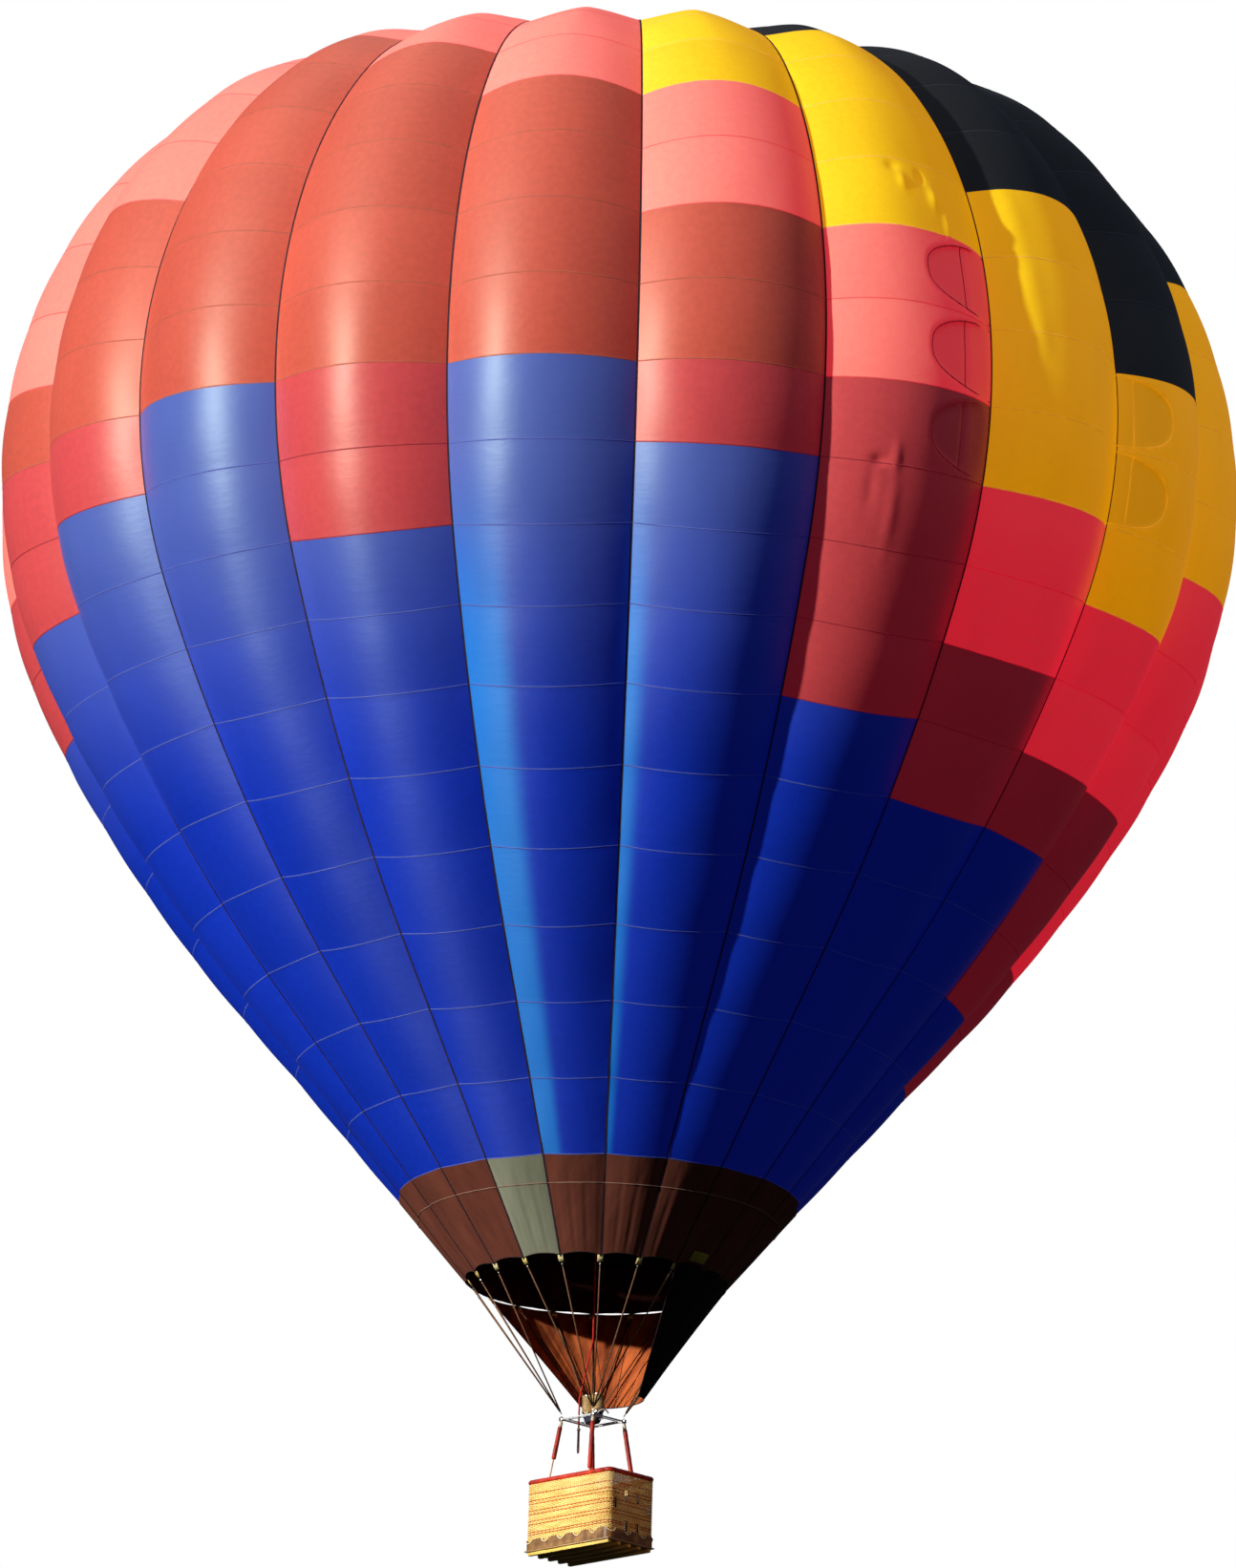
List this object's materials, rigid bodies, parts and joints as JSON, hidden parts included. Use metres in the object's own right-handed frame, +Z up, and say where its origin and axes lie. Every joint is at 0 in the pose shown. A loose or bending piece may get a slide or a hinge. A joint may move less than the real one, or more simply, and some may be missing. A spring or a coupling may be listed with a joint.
{
  "type": "hot air balloon",
  "caption": "Gored hot air balloon in stepped colours with mouth band, scoop, flying wires, gimballed burner on padded uprights and a wicker basket.",
  "frame": {"origin": "on the upright axis at the centre of the envelope's widest ring", "axes": "+Z up; the basket's long sides run along X; the scoop opens towards -Y"},
  "size_m": [19.0732, 19.0732, 24.3165],
  "materials": {
    "gore_cloth": "coated ripstop nylon",
    "pale_nomex": "matte fireproof cloth",
    "nomex": "matte fireproof cloth",
    "tape": "woven webbing",
    "vent_cloth": "coated ripstop nylon",
    "vent_rope": "braided line",
    "wire": "stranded",
    "frame_steel": "satin",
    "burner_steel": "satin",
    "wicker": "varnished cane",
    "plywood": "varnished",
    "rim_leather": "satin",
    "hide": "rawhide",
    "skid_wood": "varnished",
    "tank": "brushed"
  },
  "bodies": {
    "balloon": {"basket_floor": "plywood", "basket_hide": "hide", "basket_rim": "rim_leather", "basket_wall": "wicker", "burner_frame": "frame_steel", "crown_ring": "tape", "flying_wires_back_left": "wire", "flying_wires_back_right": "wire", "flying_wires_front_left": "wire", "flying_wires_front_right": "wire", "gas_cylinder_back_left": "tank", "gas_cylinder_back_right": "tank", "gas_cylinder_front_left": "tank", "gas_cylinder_front_right": "tank", "gore_01": "gore_cloth", "gore_02": "gore_cloth", "gore_03": "gore_cloth", "gore_04": "gore_cloth", "gore_05": "gore_cloth", "gore_06": "gore_cloth", "gore_07": "gore_cloth", "gore_08": "gore_cloth", "gore_09": "gore_cloth", "gore_10": "gore_cloth", "gore_11": "gore_cloth", "gore_12": "gore_cloth", "gore_13": "gore_cloth", "gore_14": "gore_cloth", "gore_15": "gore_cloth", "gore_16": "gore_cloth", "gore_17": "gore_cloth", "gore_18": "gore_cloth", "gore_19": "gore_cloth", "gore_20": "gore_cloth", "mouth_band_back_left": "nomex", "mouth_band_back_right": "nomex", "mouth_band_front_left": "nomex", "mouth_band_front_right": "nomex", "mouth_panel_pale": "pale_nomex", "scoop": "nomex", "skid_1": "skid_wood", "skid_2": "skid_wood", "skid_3": "skid_wood", "skid_4": "skid_wood", "skid_5": "skid_wood", "upright_back_left": "rim_leather", "upright_back_right": "rim_leather", "upright_front_left": "rim_leather", "upright_front_right": "rim_leather"},
    "vent_valve": {"vent_panel": "vent_cloth", "vent_line": "vent_rope"},
    "gimbal_ring": {"gimbal_ring": "frame_steel"},
    "burner": {"burner_block": "burner_steel", "burner_coil_left": "burner_steel", "burner_coil_right": "burner_steel"}
  },
  "joints": [
    {"name": "vent_valve_slide", "type": "slide", "parent": "balloon", "child": "vent_valve", "axis": [0, 0, 1], "range_m": [-0.6, 0], "stiffness_N_per_m": 400, "springref_m": 0.5},
    {"name": "gimbal_ring_tilt", "type": "hinge", "parent": "balloon", "child": "gimbal_ring", "pos_m": [0, 0, -14.38], "axis": [0, 1, 0], "range_deg": [-10, 10]},
    {"name": "burner_tilt", "type": "hinge", "parent": "gimbal_ring", "child": "burner", "pos_m": [0, 0, -14.38], "axis": [1, 0, 0], "range_deg": [-10, 10]}
  ]
}
